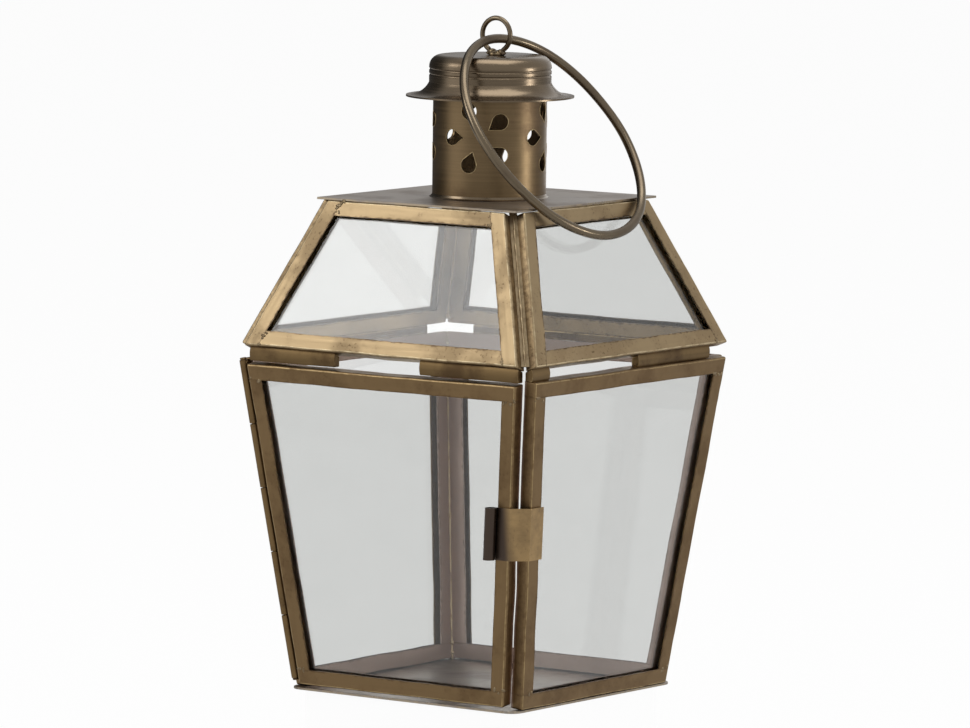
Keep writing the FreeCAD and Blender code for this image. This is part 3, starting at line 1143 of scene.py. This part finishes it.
def edge_loops(edges: Sequence[bmesh.types.BMEdge]) -> list[list[Vector]]:
    """Chain edges into closed loops of points.

    Args:
        edges: The edges of all loops.

    Returns:
        The points of each loop, in order.
    """
    links: dict[bmesh.types.BMVert, list[bmesh.types.BMVert]] = {}
    for edge in edges:
        first, second = edge.verts
        links.setdefault(first, []).append(second)
        links.setdefault(second, []).append(first)
    loops = []
    while links:
        start = next(iter(links))
        chain = [start]
        while True:
            onward = [v for v in links.pop(chain[-1]) if v in links]
            if not onward:
                break
            chain.append(onward[0])
        if len(chain) > 5:
            loops.append([v.co.copy() for v in chain])
    return loops


@dataclass
class HangingEye:
    """The wire eye with its splayed feet, its lump of solder and the ring."""

    foot_gap: float = 50.0
    foot_splay: float = 1.2 * MM
    foot_drop: float = 1.2 * MM
    foot_reach: float = 0.3 * MM
    steps: int = 40
    lumps: tuple[tuple[float, float, float, float, float], ...] = (
        (0.0, 0.5, 3.2, 2.6, 1.3), (-1.6, 1.2, 1.7, 1.5, 1.2), (1.7, 1.1, 1.6, 1.5, 1.1))

    def eye(self) -> None:
        """Bend the eye from one wire whose ends stand in the solder."""
        low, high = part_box("eye_ring")
        centre = (low + high) / 2
        wire = (high.y - low.y) / 2
        radius = (high.x - low.x) / 2 - wire
        points = []
        for index in range(self.steps + 1):
            share = index / self.steps
            turn = math.radians(-90 + self.foot_gap / 2 + (360 - self.foot_gap) * share)
            points.append(centre + Vector((math.cos(turn), 0, math.sin(turn))) * radius)
        for foot, other in ((0, 1), (-1, -2)):
            away = (points[foot] - points[other]).normalized()
            splay = math.copysign(self.foot_splay, points[foot].x - centre.x)
            end = points[foot] + away * self.foot_reach + Vector((splay, 0, -self.foot_drop))
            points.insert(0 if foot == 0 else len(points), end)
        bm = bmesh.new()
        tube_along(bm, points, lambda share: wire, segments=12)
        piece(bm, "eye_wire", Finish.RING, Slot("lantern", "ring_steel"), sharp=60,
              replaces=["eye_ring"])

    def saddle(self) -> None:
        """Heap the solder round the eye's feet: each lump has an X, a height and half sizes."""
        low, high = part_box("eye_saddle")
        centre = (low + high) / 2
        bm = bmesh.new()
        for aside, rise, *size in self.lumps:
            at = Vector((centre.x + aside * MM, centre.y, low.z + rise * MM))
            blob(bm, at, [half * MM for half in size])
        piece(bm, "eye_solder", Finish.DULL_SOLDER, LANTERN_SOLDER, sharp=80,
              replaces=["eye_saddle"])

    def build(self) -> None:
        """Dress eye, solder and ring."""
        self.eye()
        self.saddle()
        SoftCopy("bail_ring", Finish.RING, Slot("bail", "ring_steel"), fold=0, lip=0, bend=0.3 * MM,
                 bend_wave=22 * MM, worn=False).build()


@dataclass
class Studio:
    """Floor, stand, soft lights and the camera."""

    stand_height: float = 42 * MM
    stand_half: float = 47 * MM
    stand_round: float = 5 * MM
    floor_half: float = 6.0
    aim_height: float = 0.12
    eye_at: tuple[float, float, float] = (1.62939, -2.28076, 0.41158)
    azimuth: float = 35.544
    elevation: float = 5.994
    roll: float = 0.657
    focal: float = 7811.66
    image_width: float = 970.0
    sensor: float = 36.0
    sight: float = 50.0
    ambient: float = 0.55
    room: float = 0.60
    lights: dict[str, tuple] = field(default_factory=lambda: {
        "key": ((-0.92, -1.04, 0.95), 0.60, 3.3),
        "side": ((1.50, 0.72, 0.22), 0.35, 3.4),
        "top": ((0.2, 0.1, 2.0), 1.5, 14.0),
    })

    def stage(self) -> None:
        """Lay the floor and the stand."""
        bm = bmesh.new()
        bmesh.ops.create_grid(bm, x_segments=1, y_segments=1, size=self.floor_half,
                              matrix=Matrix.Translation((0, 0, -self.stand_height)))
        self.stage_piece(bm, "floor")
        bm = bmesh.new()
        size = Matrix.Diagonal((2 * self.stand_half, 2 * self.stand_half, self.stand_height, 1))
        middle = Matrix.Translation((0, 0, -self.stand_height / 2))
        bmesh.ops.create_cube(bm, size=1.0, matrix=middle @ size)
        uprights = [e for e in bm.edges
                    if abs((e.verts[0].co - e.verts[1].co).normalized().z) > 0.9]
        bmesh.ops.bevel(bm, geom=uprights, offset=self.stand_round, segments=5, profile=0.5,
                        affect="EDGES", material=-1)
        self.stage_piece(bm, "stand")

    def stage_piece(self, bm: bmesh.types.BMesh, name: str) -> None:
        """Turn a mesh into a piece of the studio.

        Args:
            bm: The mesh, which is used up.
            name: The piece's name.
        """
        mesh = bpy.data.meshes.new(name)
        bm.to_mesh(mesh)
        bm.free()
        mesh.materials.append(Finish.PAPER.material)
        obj = bpy.data.objects.new(name, mesh)
        bpy.context.scene.collection.objects.link(obj)

    def lamps(self) -> None:
        """Hang the soft lights, all aimed at the lantern's middle."""
        target = Vector((0, 0, self.aim_height))
        for name, (place, size, power) in self.lights.items():
            light = bpy.data.lights.new(name, "AREA")
            light.size = size
            light.energy = power
            lamp = bpy.data.objects.new(name, light)
            at = Vector(place)
            turn = (at - target).to_track_quat("Z", "Y").to_matrix().to_4x4()
            lamp.matrix_world = Matrix.Translation(at) @ turn
            bpy.context.scene.collection.objects.link(lamp)

    def world(self) -> None:
        """Fill in with a pale room, whose walls metal and glass reflect."""
        world = bpy.data.worlds.new("room")
        world.use_nodes = True
        g = Graph(world.node_tree)
        direction = g.node("ShaderNodeTexCoord", None, None, "Generated")
        room = room_shade(g, direction, self.room)
        ambient = g.node("ShaderNodeBackground", None, {
            "Color": (1, 1, 1, 1), "Strength": self.ambient})
        shade = g.mix(mirrored_rays(g), (1, 1, 1), room)
        seen = g.node("ShaderNodeBackground", None, {"Color": shade, "Strength": 1.0})
        g.end("ShaderNodeOutputWorld", g.node("ShaderNodeMixShader", None, {
            0: seen_rays(g), 1: ambient, 2: seen}))
        bpy.context.scene.world = world

    def camera(self) -> None:
        """Set up the camera as it stood for the photograph."""
        azimuth, elevation, roll = (math.radians(angle)
                                    for angle in (self.azimuth, self.elevation, self.roll))
        ahead = Vector((-math.sin(azimuth) * math.cos(elevation),
                        math.cos(azimuth) * math.cos(elevation), -math.sin(elevation)))
        level = Vector((math.cos(azimuth), math.sin(azimuth), 0))
        rise = level.cross(ahead)
        right = level * math.cos(roll) + rise * math.sin(roll)
        up = rise * math.cos(roll) - level * math.sin(roll)
        data = bpy.data.cameras.new("camera")
        data.sensor_fit = "HORIZONTAL"
        data.sensor_width = self.sensor
        data.lens = self.focal * self.sensor / self.image_width
        data.clip_end = self.sight
        camera = bpy.data.objects.new("camera", data)
        turn = Matrix((right, up, -ahead)).transposed().to_4x4()
        camera.matrix_world = Matrix.Translation(self.eye_at) @ turn
        bpy.context.scene.collection.objects.link(camera)
        bpy.context.scene.camera = camera

    def build(self) -> None:
        """Set up the whole studio."""
        self.stage()
        self.lamps()
        self.world()
        self.camera()
        bpy.context.scene.view_settings.view_transform = "Standard"


@dataclass
class Lantern:
    """The whole lantern."""

    def panels(self) -> list[GlazedPanel]:
        """The door, the three fixed panels and the four of the roof."""
        door = GlazedPanel("door", Slot("door", "frame_brass"), Finish.BODY,
                           ("bottom_rail", "top_rail", "hinge_stile", "latch_stile"))
        fixed = [GlazedPanel(side, Slot("lantern", "frame_brass"), Finish.BODY)
                 for side in ("right", "back", "left")]
        roof = [GlazedPanel(f"roof_{side}", Slot("lantern", "roof_brass"), Finish.ROOF)
                for side in ("front", "right", "back", "left")]
        return [door, *fixed, *roof]

    def build(self) -> None:
        """Dress every sub-assembly in order."""
        for panel in self.panels():
            panel.build()
            SolderSpots(panel, not panel.name.startswith("roof")).build()
        SolderedSeams().build()
        for side in ("front", "right", "back", "left"):
            SoftCopy(f"eave_spacer_{side}", Finish.SPACER, Slot("lantern", "spacer_bronze"),
                     fold=0.4 * MM, slice_step=4 * MM).build()
        Hinge().build()
        SoftCopy("latch_clip", Finish.CLIP, Slot("door", "clip_brass"), bend=0.05 * MM).build()
        SoftCopy("base_plate", Finish.PLATE, Slot("lantern", "plate_brass"), bend=0.0).build()
        Chimney().build()
        HangingEye().build()


def main() -> None:
    """Build the studio and the lantern."""
    logging.basicConfig(level=logging.INFO, format="%(name)s: %(message)s")
    noise.seed_set(NOISE_SEED)
    Studio().build()
    Lantern().build()
    bpy.context.view_layer.update()


if __name__ == "__main__":
    main()
